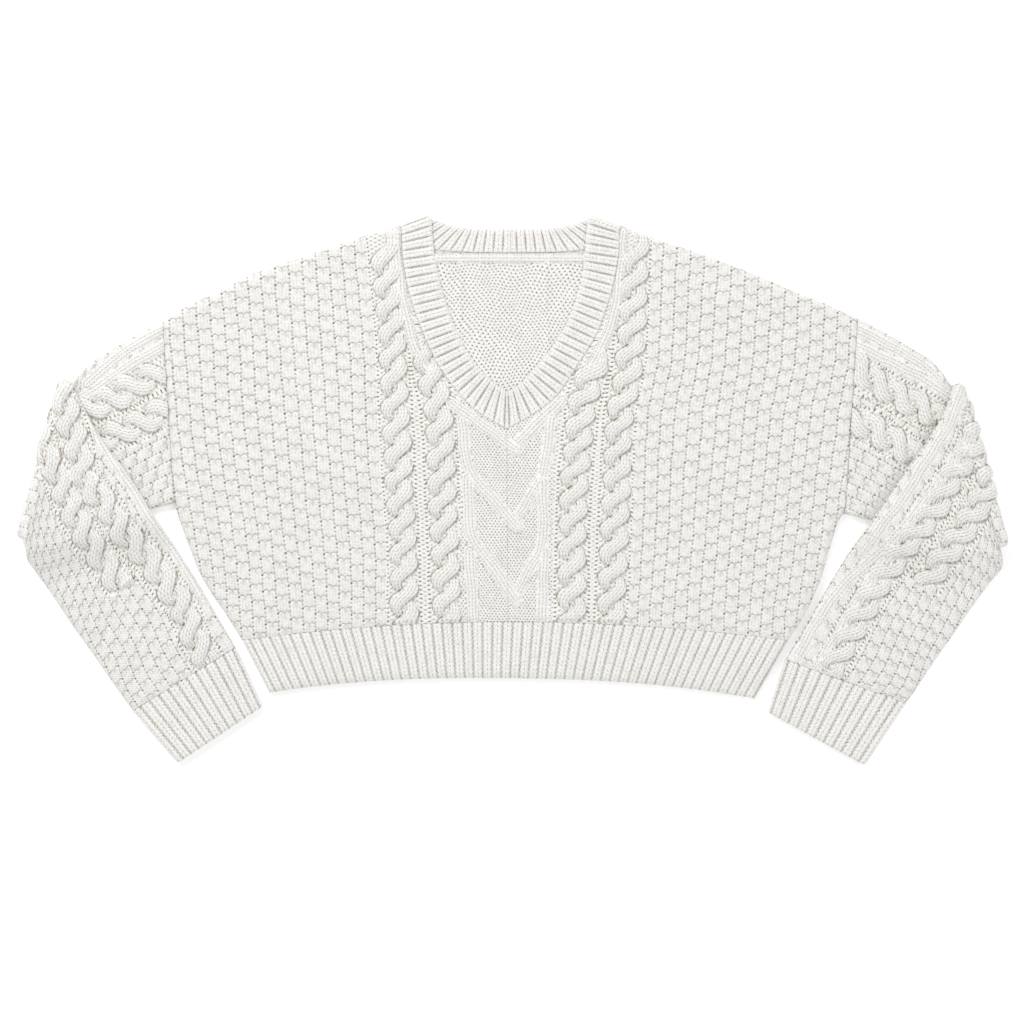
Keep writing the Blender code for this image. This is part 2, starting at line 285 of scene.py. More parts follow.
def smooth(points, steps=12):
    """A smooth curve through the points (Catmull-Rom)."""
    points = np.asarray(points, float)
    padded = np.vstack([2 * points[0] - points[1], points, 2 * points[-1] - points[-2]])
    t = np.linspace(0.0, 1.0, steps, endpoint=False)[:, None]
    result = []
    for p, q, r, s in zip(padded, padded[1:], padded[2:], padded[3:]):
        result.append(0.5 * (2 * q + (r - p) * t + (2 * p - 5 * q + 4 * r - s) * t ** 2
                             + (3 * q - p - 3 * r + s) * t ** 3))
    return np.vstack(result + [points[-1:]])


def filled(bottom, top, start, end):
    """A grid of points that fills the space between four edges that meet at the corners."""
    u = np.linspace(0, 1, len(bottom))[None, :, None]
    v = np.linspace(0, 1, len(start))[:, None, None]
    along = start[:, None] * (1 - u) + end[:, None] * u
    across = bottom[None] * (1 - v) + top[None] * v
    corners = (start[0] * (1 - u) + end[0] * u) * (1 - v) + (start[-1] * (1 - u) + end[-1] * u) * v
    return along + across - corners


def ease(x):
    """0 below 0, 1 above 1 and smooth between."""
    x = np.clip(x, 0.0, 1.0)
    return x * x * (3 - 2 * x)


def bell(x, width):
    """1 at 0, falling off smoothly on both sides."""
    return np.exp(-(x / width) ** 2)


def dome(x):
    """A round ridge: 1 at 0 and 0 from -1 and 1 outwards."""
    return np.sqrt(np.clip(1 - x * x, 0.0, 1.0))


def local(points, line):
    """How far each point is along a polyline, and how far from it, positive to the right of it as one
    walks along it."""
    line = np.asarray(line, float)
    run = lengths_of(line)
    best = np.full(points.shape[:-1], np.inf)
    along, aside = np.zeros_like(best), np.zeros_like(best)
    for i, (a, b) in enumerate(zip(line, line[1:])):
        step = b - a
        size = np.linalg.norm(step)
        unit = step / size
        gap = points - a
        t = gap @ unit
        off = t - np.clip(t, 0.0, size)
        side = gap[..., 0] * unit[1] - gap[..., 1] * unit[0]
        far = np.hypot(side, off)
        near = far < best
        best = np.where(near, far, best)
        along = np.where(near, run[i] + np.clip(t, 0.0, size), along)
        aside = np.where(near, np.copysign(far, side), aside)
    return along, aside


def distance_to(points, line):
    """The distance from each point to a polyline."""
    return np.abs(local(points, line)[1])


# The knitting. A layer gives its height, the shade painted into its creases, the kind of stitch, the two
# coordinates the stitch is drawn from and, for blocks, how far each column is moved from the last.

BLOCK, WALES, RIBS, PURL, RUNGS = range(5)


class Layer:
    """What lies at each point of a grid."""

    def __init__(self, height, crease_shade, kind, u, v, shift=0.0):
        shape = np.shape(height)
        self.height = height
        self.crease_shade = np.broadcast_to(crease_shade, shape)
        self.kind = np.broadcast_to(kind, shape)
        self.u = np.broadcast_to(u, shape)
        self.v = np.broadcast_to(v, shape)
        self.shift = np.broadcast_to(shift, shape)

    def parts(self):
        return self.height, self.crease_shade, self.kind, self.u, self.v, self.shift

    def blend(self, other, share):
        """The other layer where share is 1, with a smooth passage in height and painted crease shade."""
        pick = share > 0.5
        height = self.height * (1 - share) + other.height * share
        crease_shade = self.crease_shade * (1 - share) + other.crease_shade * share
        drawn = [np.where(pick, b, a) for a, b in zip(self.parts()[2:], other.parts()[2:])]
        return Layer(height, crease_shade, *drawn)

    def over(self, other):
        """Whichever of the two stands higher."""
        pick = other.height > self.height
        return Layer(*(np.where(pick, b, a) for a, b in zip(self.parts(), other.parts())))


def wobble(points):
    """The points moved a little, as knitting is never quite regular."""
    x, y = points[..., 0], points[..., 1]
    dx = 0.7 * np.sin(x / 23 + 1.3 * np.sin(y / 31)) + 0.35 * np.sin(y / 6.1 + x / 9.7)
    dy = 0.8 * np.sin(y / 27 + 1.1 * np.sin(x / 19)) + 0.4 * np.sin(x / 5.3 - y / 11.9)
    return points + np.stack([dx, dy], axis=-1)


def rope(along, aside, start=0.0):
    """A two-strand cable. Each lobe comes out from under the one above, crosses and tucks under."""
    first = np.floor((along - start) / ROPE_PITCH)
    best = Layer(np.full(along.shape, HIDDEN), 0.0, WALES, 0.0, 0.0)
    second = np.full(along.shape, HIDDEN)
    for back in range(-1, 3):
        index = first - back
        y = along - start - index * ROPE_PITCH - HEAD_RISE
        inside = np.clip(y, LOBE_PLACES[0], LOBE_PLACES[-1])
        turn = np.pi * inside / ROPE_PITCH
        slope = -ROPE_SWING * np.pi / ROPE_PITCH * np.sin(turn)
        side = (aside - ROPE_SWING * np.cos(turn)) / np.sqrt(1 + slope ** 2)
        reach = np.hypot(side, y - inside) / np.interp(inside, LOBE_PLACES, LOBE_HALF)
        ridge = 0.5 - 0.5 * np.cos(2 * np.pi * side / WALE)
        height = ROPE_HEIGHT * np.interp(inside, LOBE_PLACES, LOBE_LIFT) * dome(reach) ** 0.75
        height = np.where((reach < 1) & (index >= 0), height - 0.4 * ridge, HIDDEN)
        # Painted shade: darker towards each lobe's rim and along the tail that tucks under.
        crease_shade = 0.8 * ease((reach - 0.78) / 0.22) + 0.2 * ease((inside - 20) / 12)
        lobe = Layer(height, crease_shade, WALES, side / WALE + 0.5, y / COURSE + 0.37 * index)
        second = np.where(height > best.height, best.height, np.maximum(second, height))
        best = best.over(lobe)
    # border is a line of painted shade where a lobe meets the one it lies on, and a dip in the surface
    # there.
    border = bell(best.height - second, 1.6) * (second > HIDDEN)
    crease_shade = np.clip(best.crease_shade + border, 0, 1)
    return Layer(best.height - 1.5 * border, crease_shade, *best.parts()[2:])


def blocks(column, down, shift):
    """Basket blocks. column counts columns, down is the distance down a column, and each column is
    moved down by shift of a period from the one before."""
    number = np.floor(column)
    a = column - number
    row = down / BLOCK_PERIOD - shift * number
    b = row + SCALLOP * np.abs(np.sin(2 * np.pi * a))
    b = b - np.floor(b)
    pillow = (0.62 + 0.38 * np.sin(np.pi * a) ** 0.6) * (0.5 + 0.5 * np.sin(np.pi * b ** 0.6) ** 0.7)
    # The crease under each block's scallop dips the surface and paints a little shade into it.
    crease_shade = bell(np.minimum(b, 1 - b), 0.07)
    return Layer(1.9 * pillow - 0.8 * crease_shade, 0.06 * crease_shade, BLOCK, column, down / BLOCK_PERIOD, shift)


def ladder(x, y):
    """Reverse side stitches beside a rope: short gaps of painted shade between the rungs, in columns
    that stand away from the rope's middle by RUNG_OUT and then every RUNG_STEP."""
    post = (np.abs(x) - RUNG_OUT) / RUNG_STEP
    beat = y / RUNG + 0.18 * (post - np.round(post))
    # A little shade is painted over the whole ladder.
    return Layer(0.7 + 0.3 * np.cos(2 * np.pi * beat), 0.08, RUNGS, post, beat)


def seed(x, y):
    """Purl stitches: rows of small bumps with dots of painted shade between them, and a faint shade painted
    over all.
    """
    u, v = x / PURL_WIDTH, y / PURL_ROW
    bump = np.cos(2 * np.pi * (u + 0.5 * (np.floor(v) % 2)))
    return Layer(1.0 + 0.15 * bump, 0.03, PURL, u, v)


def cord(along, aside, half=6.6, lift=2.8):
    """A travelling rib of four wales."""
    reach = np.abs(aside) / half
    ridge = 0.5 + 0.5 * np.cos(2 * np.pi * aside / CORD_WALE)
    height = np.where(reach < 1, lift * dome(reach) ** 0.6 - 0.35 * ridge, HIDDEN)
    # Shade painted along both edges of the rib, stronger at each course.
    crease_shade = 0.7 * ease((reach - 0.8) / 0.2) * (0.75 + 0.25 * np.cos(2 * np.pi * along / COURSE))
    return Layer(height, crease_shade, WALES, aside / CORD_WALE, along / COURSE)


def rib(across, along, lift=1.4, trough=0.17):
    """Two knit wales and a purl trough. across counts ribs, along runs down them in millimetres and
    trough is half a trough's width in ribs."""
    a = across - np.floor(across)
    away = np.abs((a - TROUGH_PLACE + 0.5) % 1.0 - 0.5)
    rise = dome(1 - np.clip((away - 0.5 * trough) / 0.24, 0, 1))
    middle = bell(a - TROUGH_PLACE + 0.5, 0.06)
    # A little shade is painted into the trough.
    return Layer(lift * rise - 0.3 * middle, 0.04 * (1 - rise), RIBS, across, along / RUNG, trough)


def wrong_side(x, y):
    """The inside of the back: rows of purl bumps, with two faint columns."""
    found = seed(x / INSIDE_STRETCH, y / INSIDE_STRETCH)
    column = bell(x + 53, 2.5) + bell(x - 36, 2.5)
    return Layer(found.height + 1.5 * column, found.crease_shade, *found.parts()[2:])


# Meshes.

def quads(rows, columns, base, closed):
    """Corner numbers of the faces of a grid whose points are numbered row by row from base."""
    number = np.arange(rows * columns).reshape(rows, columns) + base
    if closed:
        number = np.hstack([number, number[:, :1]])
    a, b, c, d = number[:-1, :-1], number[:-1, 1:], number[1:, 1:], number[1:, :-1]
    return np.stack([a, b, c, d], axis=-1).reshape(-1, 4)


def rim(fine, coarse, step):
    """Faces that join an edge of the fine grid to the same edge of the coarse one."""
    count = len(coarse) - 1
    runs = np.stack([fine[i * step:i * step + step + 1] for i in range(count)])
    ends = np.stack([coarse[1:], coarse[:-1]], axis=1)
    return np.hstack([runs, ends])


def shell(name, outer, inner, layer, material, slot, step=COARSE, closed=False, inner_layer=None):
    """A closed skin: a fine outer grid, a coarser inner one that takes every step-th row and column
    of it, and the rims between them. closed joins the grids round into tubes."""
    rows, columns = outer.shape[:2]
    inner_rows, inner_columns = inner.shape[:2]
    base = rows * columns
    points = np.vstack([outer.reshape(-1, 3), inner.reshape(-1, 3)]) * MM
    top = quads(rows, columns, 0, closed)
    under = quads(inner_rows, inner_columns, base, closed)[:, ::-1]
    fine = np.arange(base).reshape(rows, columns)
    rough = np.arange(inner_rows * inner_columns).reshape(inner_rows, inner_columns) + base
    if closed:
        fine = np.hstack([fine, fine[:, :1]])
        rough = np.hstack([rough, rough[:, :1]])
    rims = [rim(fine[0], rough[0], step)[:, ::-1], rim(fine[-1], rough[-1], step)]
    if not closed:
        rims += [rim(fine[:, 0], rough[:, 0], step), rim(fine[:, -1], rough[:, -1], step)[:, ::-1]]
    faces = [top, under] + rims
    split = 0.8 if inner_layer is None else 0.46
    rows_run, columns_run = inner_rows - 1, inner_columns - 1 + closed
    bands = [0.935, 0.95, 0.965, 0.98, 0.995]
    places = [grid_layout(rows, columns, closed, 0.005, split)]
    places.append(grid_layout(inner_rows, inner_columns, closed, split + 0.01, 0.925)[:, ::-1])
    for i, count in enumerate([columns_run, columns_run, rows_run, rows_run][:len(rims)]):
        strip = rim_layout(count, step, bands[i], bands[i] + 0.01)
        places.append(strip[:, ::-1] if i in (0, 3) else strip)
    corners = np.concatenate([part.ravel() for part in faces])
    sizes = np.concatenate([np.full(len(part), part.shape[1]) for part in faces])
    starts = np.concatenate([[0], np.cumsum(sizes)[:-1]])
    mesh = bpy.data.meshes.new(name)
    mesh.vertices.add(len(points))
    mesh.vertices.foreach_set("co", points.ravel())
    mesh.loops.add(len(corners))
    mesh.loops.foreach_set("vertex_index", corners.astype(np.int32))
    mesh.polygons.add(len(sizes))
    mesh.polygons.foreach_set("loop_start", starts.astype(np.int32))
    mesh.update(calc_edges=True)
    write_maps(mesh, layer, inner_layer, inner_rows * inner_columns, len(top), corners)
    layout = np.concatenate([part.reshape(-1, 2) for part in places]).astype(np.float32)
    mesh.uv_layers.new(name="OFBake", do_init=False).uv.foreach_set("vector", layout.ravel())
    if signed_volume(points, top, under) < 0:
        mesh.flip_normals()
    mesh.shade_smooth()
    mesh.materials.append(material)
    piece = bpy.data.objects.new(name, mesh)
    bpy.context.scene.collection.objects.link(piece)
    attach(piece, "root")
    return piece


def signed_volume(points, *parts):
    """Six times the volume inside the faces: negative if they face inwards."""
    total = 0.0
    for faces in parts:
        a, b, c, d = (points[faces[:, i]] for i in range(4))
        total += np.einsum("ij,ij->", a, np.cross(b, c)) + np.einsum("ij,ij->", a, np.cross(c, d))
    return total


def grid_layout(rows, columns, closed, low, high):
    """Places on the layout map for the corners of a grid's faces, in the order quads() gives them."""
    wide = columns + closed
    across, down = np.meshgrid(np.linspace(0.005, 0.995, wide), np.linspace(low, high, rows))
    return np.stack([across, down], axis=-1).reshape(-1, 2)[quads(rows, wide, 0, False)]


def rim_layout(count, step, low, high):
    """Places on the layout map for the corners of a rim's faces, in the order rim() gives them."""
    first = np.arange(count)[:, None] * step
    fine = first + np.arange(step + 1)[None]
    coarse = np.hstack([first + step, first])
    across = 0.005 + 0.99 * np.hstack([fine, coarse]) / (count * step)
    down = np.hstack([np.full(fine.shape, low), np.full(coarse.shape, high)])
    return np.stack([across, down], axis=-1)


def write_maps(mesh, layer, inner_layer, inner_count, outer_faces, corners):
    """The maps the yarn is drawn from: stitch coordinates, (painted crease shade, kind) and the columns'
    shift.

    A face whose corners lie in two different stitches takes its coordinates from its first corner.
    """
    if inner_layer is None:
        # An inner skin without a layer of its own gets a flat painted shade of 0.3.
        inner = [np.full(inner_count, value) for value in (0.3, WALES, 0.5, 0.0, 0.0)]
    else:
        inner = [part.ravel() for part in inner_layer.parts()[1:]]
    outer = [part.ravel() for part in layer.parts()[1:]]
    values = np.stack([np.concatenate([a, b]) for a, b in zip(outer, inner)], axis=1)[corners]
    block = values[:outer_faces * 4].reshape(-1, 4, 5)
    jump = np.abs(block - block[:, :1])[:, :, 1:4].max(axis=(1, 2)) > 0.9
    block[jump, :, 1:] = block[jump][:, :1, 1:]
    for name, columns in (("Stitch", (2, 3)), ("Shade", (0, 1)), ("Shift", (4, 4))):
        chosen = values[:, list(columns)].astype(np.float32)
        mesh.uv_layers.new(name=name, do_init=False).uv.foreach_set("vector", chosen.ravel())


# Materials.

class Drawing:
    """Short ways to add nodes to a material."""

    def __init__(self, material):
        self.tree = material.node_tree
        self.tree.nodes.clear()

    def node(self, kind, **values):
        made = self.tree.nodes.new(kind)
        for key, value in values.items():
            setattr(made, key, value)
        return made

    def link(self, source, target):
        self.tree.links.new(source, target)

    def maths(self, operation, *values):
        made = self.node("ShaderNodeMath", operation=operation)
        for socket, value in zip(made.inputs, values):
            if isinstance(value, (int, float)):
                socket.default_value = value
            else:
                self.link(value, socket)
        return made.outputs[0]

    def channels(self, name):
        """The two numbers that a map holds."""
        parts = self.node("ShaderNodeSeparateXYZ")
        self.link(self.node("ShaderNodeUVMap", uv_map=name).outputs[0], parts.inputs[0])
        return parts.outputs[0], parts.outputs[1]

    def noise(self, place, scale):
        """Smooth noise around 0."""
        made = self.node("ShaderNodeTexNoise")
        made.inputs["Scale"].default_value = scale
        made.inputs["Detail"].default_value = 2.0
        self.link(place, made.inputs["Vector"])
        return self.maths("SUBTRACT", made.outputs[0], 0.5)

    def times(self, a, b):
        return self.maths("MULTIPLY", a, b)

    def scaled(self, x, factor, extra):
        return self.maths("MULTIPLY_ADD", x, factor, extra)

    def off_centre(self, x):
        """How far x is from the middle between two whole numbers."""
        return self.maths("ABSOLUTE", self.maths("SUBTRACT", self.maths("FRACT", x), 0.5))

    def off_whole(self, x):
        """How far x is from the nearest whole number."""
        return self.maths("SUBTRACT", 0.5, self.off_centre(x))

    def odd_half(self, x):
        """A half where x, a whole number, is odd."""
        return self.times(self.maths("FLOORED_MODULO", x, 2.0), 0.5)

    def squared(self, x, width):
        return self.maths("POWER", self.times(x, 1 / width), 2.0)

    def spot(self, *sides):
        """1 in the middle of an ellipse and 0 outside it, from its squared distances."""
        total = sides[0]
        for side in sides[1:]:
            total = self.maths("ADD", total, side)
        return self.maths("MAXIMUM", self.maths("SUBTRACT", 1.0, total), 0.0)

    def wave(self, x):
        """From 1 at whole numbers to 0 halfway between them."""
        return self.scaled(self.maths("COSINE", self.times(x, math.tau)), 0.5, 0.5)

    def legs(self, wale, course):
        """The two slanted legs of each knit stitch."""
        return self.wave(self.scaled(self.off_centre(wale), 1.5, course))

    def wale_line(self, wale):
        """The line that parts two wales."""
        return self.maths("POWER", self.times(self.off_centre(wale), 2.0), 5.0)


# Each stitch is drawn as how much shade is painted into it and how its yarn's legs stand. All are
# given the same three numbers, and those that aren't moved from column to column leave out the last.

def drawn_blocks(d, u, v, shift):
    """Painted shade: a scalloped line across each block, holes down both of its sides and a soft hollow
    under the line.
    """
    a = d.maths("FRACT", u)
    row = d.maths("SUBTRACT", v, d.times(shift, d.maths("FLOOR", u)))
    arch = d.maths("ABSOLUTE", d.maths("SINE", d.times(a, math.tau)))
    scallop = d.spot(d.squared(d.off_whole(d.scaled(arch, SCALLOP, row)), 0.05))
    scallop = d.times(scallop, d.scaled(arch, 0.12, 0.40))
    past_middle = d.maths("GREATER_THAN", a, 0.5)
    beat = d.times(d.maths("SUBTRACT", row, d.times(shift, past_middle)), HOLES)
    from_side = d.squared(d.off_whole(u), HOLE / BLOCK_COLUMN)
    hole = d.spot(from_side, d.squared(d.off_whole(beat), HOLES * HOLE / BLOCK_PERIOD))
    corner = d.maths("LESS_THAN", d.maths("FLOORED_MODULO", d.maths("ROUND", beat), HOLES), 0.5)
    hole = d.times(hole, d.scaled(corner, 0.4, 0.6))
    stitch_shade = d.maths("MAXIMUM", d.maths("MAXIMUM", scallop, hole), d.times(d.wale_line(d.times(u, 4.0)), 0.2))
    from_middle = d.squared(d.maths("SUBTRACT", a, 0.5), 0.32)
    from_line = d.squared(d.maths("SUBTRACT", d.maths("FRACT", row), 0.1), 0.2)
    stitch_shade = d.scaled(d.spot(from_middle, from_line), 0.2, stitch_shade)
    return stitch_shade, d.legs(d.times(u, 4.0), d.times(v, 6.0))


def drawn_wales(d, u, v, shift):
    """Knit wales, parted by thin lines of painted shade."""
    return d.times(d.wale_line(u), d.scaled(d.wave(v), 0.32, 0.31)), d.legs(u, v)


def drawn_ribs(d, u, v, shift):
    """Two wales and a trough of painted shade, whose half width is shift. A narrow trough is a plain
    line, and a wide one has gaps in step on both of its sides."""
    from_trough = d.maths("SUBTRACT", d.maths("FRACT", u), TROUGH_PLACE)
    trough = d.spot(d.maths("POWER", d.maths("DIVIDE", from_trough, shift), 2.0))
    side = d.times(d.maths("GREATER_THAN", from_trough, 0.0), 0.5)
    plain = d.times(d.maths("LESS_THAN", shift, NARROW_TROUGH), 0.56)
    stepped = d.scaled(d.wave(d.maths("ADD", v, side)), 0.46, 0.18)
    trough = d.times(trough, d.maths("MAXIMUM", stepped, plain))
    middle = d.spot(d.squared(d.maths("ADD", from_trough, 0.5), 0.06))
    middle = d.times(middle, d.scaled(d.wave(v), 0.36, 0.10))
    leg = d.legs(d.times(d.maths("ADD", from_trough, 1.0), 2.5), d.times(v, 1.2))
    return d.maths("MAXIMUM", trough, middle), leg


def drawn_purl(d, u, v, shift):
    """Dots of painted shade between the purl bumps, moved by half a stitch on every other row."""
    across = d.off_centre(d.maths("ADD", u, d.odd_half(d.maths("FLOOR", v))))
    stitch_shade = d.times(d.spot(d.squared(across, 0.25), d.squared(d.off_centre(v), 0.3)), 0.82)
    return stitch_shade, d.wave(d.maths("ADD", across, v))


def drawn_rungs(d, u, v, shift):
    """Short gaps of painted shade between the rungs beside a rope, darkest in the column next to it."""
    beat = d.maths("ADD", v, d.odd_half(d.maths("ROUND", u)))
    beside_rope = d.maths("LESS_THAN", d.maths("ABSOLUTE", u), 0.5)
    stitch_shade = d.spot(d.squared(d.off_whole(u), 0.36), d.squared(d.off_centre(beat), 0.19))
    return d.times(stitch_shade, d.scaled(beside_rope, 0.5, 0.5)), d.wave(beat)


def drawn_stitches(d, kind):
    """How much shade is painted into the stitch and how its legs stand, wherever its kind is."""
    u, v = d.channels("Stitch")
    shift = d.channels("Shift")[0]
    stitch_shade, leg = 0.0, 0.0
    for index, draw in enumerate((drawn_blocks, drawn_wales, drawn_ribs, drawn_purl, drawn_rungs)):
        here = d.maths("COMPARE", kind, float(index), 0.5)
        stitch_shade_here, leg_here = draw(d, u, v, shift)
        stitch_shade = d.maths("MULTIPLY_ADD", here, stitch_shade_here, stitch_shade)
        leg = d.maths("MULTIPLY_ADD", here, leg_here, leg)
    return stitch_shade, leg


def yarn_colour(d, depth):
    """From light yarn to the shade painted between stitches and into creases."""
    ramp = d.node("ShaderNodeValToRGB")
    first, last = ramp.color_ramp.elements
    first.position, last.position = 0.02, 1.0
    first.color, last.color = (*LIGHT_YARN, 1.0), (*SHADED_YARN, 1.0)
    half = ramp.color_ramp.elements.new(0.5)
    half.color = (*[0.55 * a + 0.45 * b for a, b in zip(LIGHT_YARN, SHADED_YARN)], 1.0)
    d.link(depth, ramp.inputs[0])
    return ramp.outputs[0]


def knit_material(name):
    """Yarn: the stitches of each kind drawn from their coordinates, fuzz, and shade painted into the
    creases.
    """
    material = bpy.data.materials.new(name)
    material.use_nodes = True
    d = Drawing(material)
    crease_shade, kind = d.channels("Shade")
    drawn, leg = drawn_stitches(d, kind)
    place = d.node("ShaderNodeTexCoord").outputs["Object"]
    fuzz = d.noise(place, 480.0)
    blotch = d.noise(place, 60.0)

    bump = d.node("ShaderNodeBump")
    bump.inputs["Strength"].default_value = BUMP_STRENGTH
    bump.inputs["Distance"].default_value = 0.0012
    height = d.maths("SUBTRACT", d.scaled(leg, 0.45, d.times(fuzz, 0.5)), drawn)
    d.link(height, bump.inputs["Height"])

    # The ramp's input: shade painted into holes, lines and creases, more painted shade between the yarn's
    # legs, then fuzz and blotches of tone.
    depth = d.maths("ADD", drawn, crease_shade)
    depth = d.scaled(d.maths("SUBTRACT", 1.0, leg), 0.16, depth)
    depth = d.scaled(fuzz, 0.8, depth)
    depth = d.scaled(blotch, 0.15, depth)

    shader = d.node("ShaderNodeBsdfPrincipled")
    shader.inputs["Roughness"].default_value = 0.95
    shader.inputs["Specular IOR Level"].default_value = 0.2
    shader.inputs["Sheen Weight"].default_value = 0.25
    shader.inputs["Sheen Roughness"].default_value = 0.5
    d.link(yarn_colour(d, depth), shader.inputs["Base Color"])
    d.link(bump.outputs[0], shader.inputs["Normal"])
    d.link(shader.outputs[0], d.node("ShaderNodeOutputMaterial").inputs[0])
    return material


# The cloth's cut.

def cut(grid, closed=False):
    """Takes a piece's cut, the grid it was made from, laid flat, all round on a tube, and does nothing with
    it.
    """
    if closed:
        grid = np.hstack([grid, grid[:, :1]])


def laid_piece(name, node, grid, outer, inner, layer, material, slot):
    """A flat piece: the grid at its outer heights, and every COARSE-th point of it at one inner height."""
    under = grid[::COARSE, ::COARSE]
    skin = np.dstack([under, np.full(under.shape[:2], inner)])
    piece = shell(name, np.dstack([grid, outer]), skin, layer, material, slot)
    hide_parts(node)
    cut(grid)


# The body.

def rib_top(side, count):
    """The line from the side to the centre where a panel meets its welt."""
    corner = FLANK[side][0]
    t = np.linspace(0, 1, count)
    x = corner[0] + (CENTRE_X - corner[0]) * t
    return np.stack([x, corner[1] + (RIB_TOP_CENTRE - corner[1]) * (1 - (1 - t) ** 2)], axis=1)


def edge_fall(points):
    """0 to 1: how far the surface has risen from the sides and shoulders, which turn under."""
    outline = [smooth(lines[side]) for side in SIDES for lines in (FLANK, SHOULDER)]
    away = np.min([distance_to(points, line) for line in outline], axis=0)
    return dome(1 - np.clip(away / EDGE_ROLL, 0, 1))


def side_field(points, side):
    """The basket blocks of one side, in columns that draw in towards the welt."""
    x, y = points[..., 0], points[..., 1]
    field = BLOCK_FIELD[side]
    line = np.array(ROPES[side][0]["line"])
    middle = np.interp(y, line[::-1, 1], line[::-1, 0])
    narrow = ease((120 - y) / 300)
    width = BLOCK_COLUMN * (1.02 - 0.11 * narrow)
    return blocks((x - middle - field["beside"]) / width, field["down"] - y, field["shift"])


def centre_field(points):
    """Ladders, seed stitch and travelling ribs between the ropes."""
    x, y = points[..., 0], points[..., 1]
    aside = np.stack([local(points, item["line"])[1] for side in SIDES for item in ROPES[side]])
    nearest = np.argmin(np.abs(aside), axis=0)[None]
    found = ladder(np.take_along_axis(aside, nearest, 0)[0], y)
    inside = ease((x - PURL_FIELD[0]) / 3) * ease((PURL_FIELD[1] - x) / 3)
    found = found.blend(seed(x, y), inside)
    for lines, lift in ((UNDER_ARMS, 2.2), (OVER_ARMS, 2.9)):
        for line in lines:
            found = found.over(cord(*local(points, smooth(line, 6)), lift=lift))
    for side in SIDES:
        found = found.over(cord(*local(points, smooth(NECK_CORDS[side], 6)), half=5.6))
    return found


def front_layer(points, side):
    """The stitches of one half of the front: the centre, the blocks past the outer rope, the ropes."""
    _, aside = local(points, ROPES[side][0]["line"])
    away = aside if side == "left" else -aside
    found = centre_field(points).blend(side_field(points, side), ease((away - ROPE_MARGIN) / 3.0))
    for item in ROPES[side]:
        along, across = local(points, smooth(item["line"]))
        found = found.over(rope(along, -across, start=item["start"]))
    return found


def armhole(side):
    """The line where the sleeve is linked to the body."""
    return np.array([FLANK[side][-1], SHOULDER[side][0]], float)


def side_edge(side):
    """The body's outer edge from its welt up the flank and the armhole to the shoulder's tip."""
    flank = spread(smooth(FLANK[side]), EDGE_POINTS)
    return np.vstack([flank[:-1], spread(armhole(side), EDGE_POINTS)])


def front_half(side, material):
    """One half of the front, from its outer edge to the centre line and the neckband."""
    outer = side_edge(side)
    neck = np.array([row[:2] for row in smooth(NECK_FRONT[side])] + [SHOULDER[side][-1]])
    centre = np.array([(CENTRE_X, RIB_TOP_CENTRE), neck[0]])
    inner = np.vstack([spread(centre, 200)[:-1], neck])
    rows = COARSE * round(380 / FRONT_STEP / COARSE) + 1
    columns = COARSE * round(300 / FRONT_STEP / COARSE) + 1
    bottom = spread(rib_top(side, 200), columns)
    top = spread(smooth(SHOULDER[side]), columns)
    grid = filled(bottom, top, spread(outer, rows), spread(inner, rows))
    layer = front_layer(wobble(grid), side)
    seams = [armhole(side), neck]
    # Shade painted along the armhole and neck seams.
    layer.crease_shade = np.clip(layer.crease_shade + 0.15 * seam_groove(grid, seams, 1.0, 1.6), 0, 1)
    relief = layer.height * settled(distance_to(grid, rib_top(side, 40)) / 5)
    rise = (TOP - MIDDLE - HALF_GAP + relief) * edge_fall(grid)
    z = MIDDLE + HALF_GAP + rise - seam_groove(grid, seams, 0.9, 2.2)
    laid_piece("front_" + side, "front_panel", grid, z, MIDDLE + 0.2, layer, material, "knit")


def settled(away):
    """A quarter at a panel's end and 1 from a way off, so that the relief runs out towards its rib."""
    return 0.25 + 0.75 * ease(away)


def seam_groove(points, lines, depth, width):
    """How far the surface dips where pieces are linked together."""
    away = np.min([distance_to(points, line) for line in lines], axis=0)
    return depth * bell(away, width)


def back_panel(material):
    """The back: its outer side lies on the surface and its inner side is plain where it is covered."""
    left, right = side_edge("left"), side_edge("right")
    neck = np.array([row[:2] for row in NECK_BACK["left"] + NECK_BACK["right"][-2::-1]])
    top = np.vstack([smooth(SHOULDER["left"]), smooth(neck), smooth(SHOULDER["right"])[::-1]])
    bottom = np.vstack([rib_top("left", 100), rib_top("right", 100)[-2::-1]])
    columns = COARSE * round(690 / BACK_STEP / COARSE) + 1
    rows = COARSE * round(400 / BACK_STEP / COARSE) + 1
    grid = filled(spread(bottom, columns), spread(top, columns), spread(left, rows), spread(right, rows))
    layer = side_field(grid, "left").blend(side_field(grid, "right"), ease(grid[..., 0] - CENTRE_X))
    rise = 1 - edge_fall(grid)
    outer = (MIDDLE - HALF_GAP) * rise + UNDER_RELIEF * (1 - np.clip(layer.height / 2.4, 0, 1)) * (1 - rise)
    laid_piece("back", "back_panel", grid, outer, CLOTH - 0.5, layer, material, "knit")


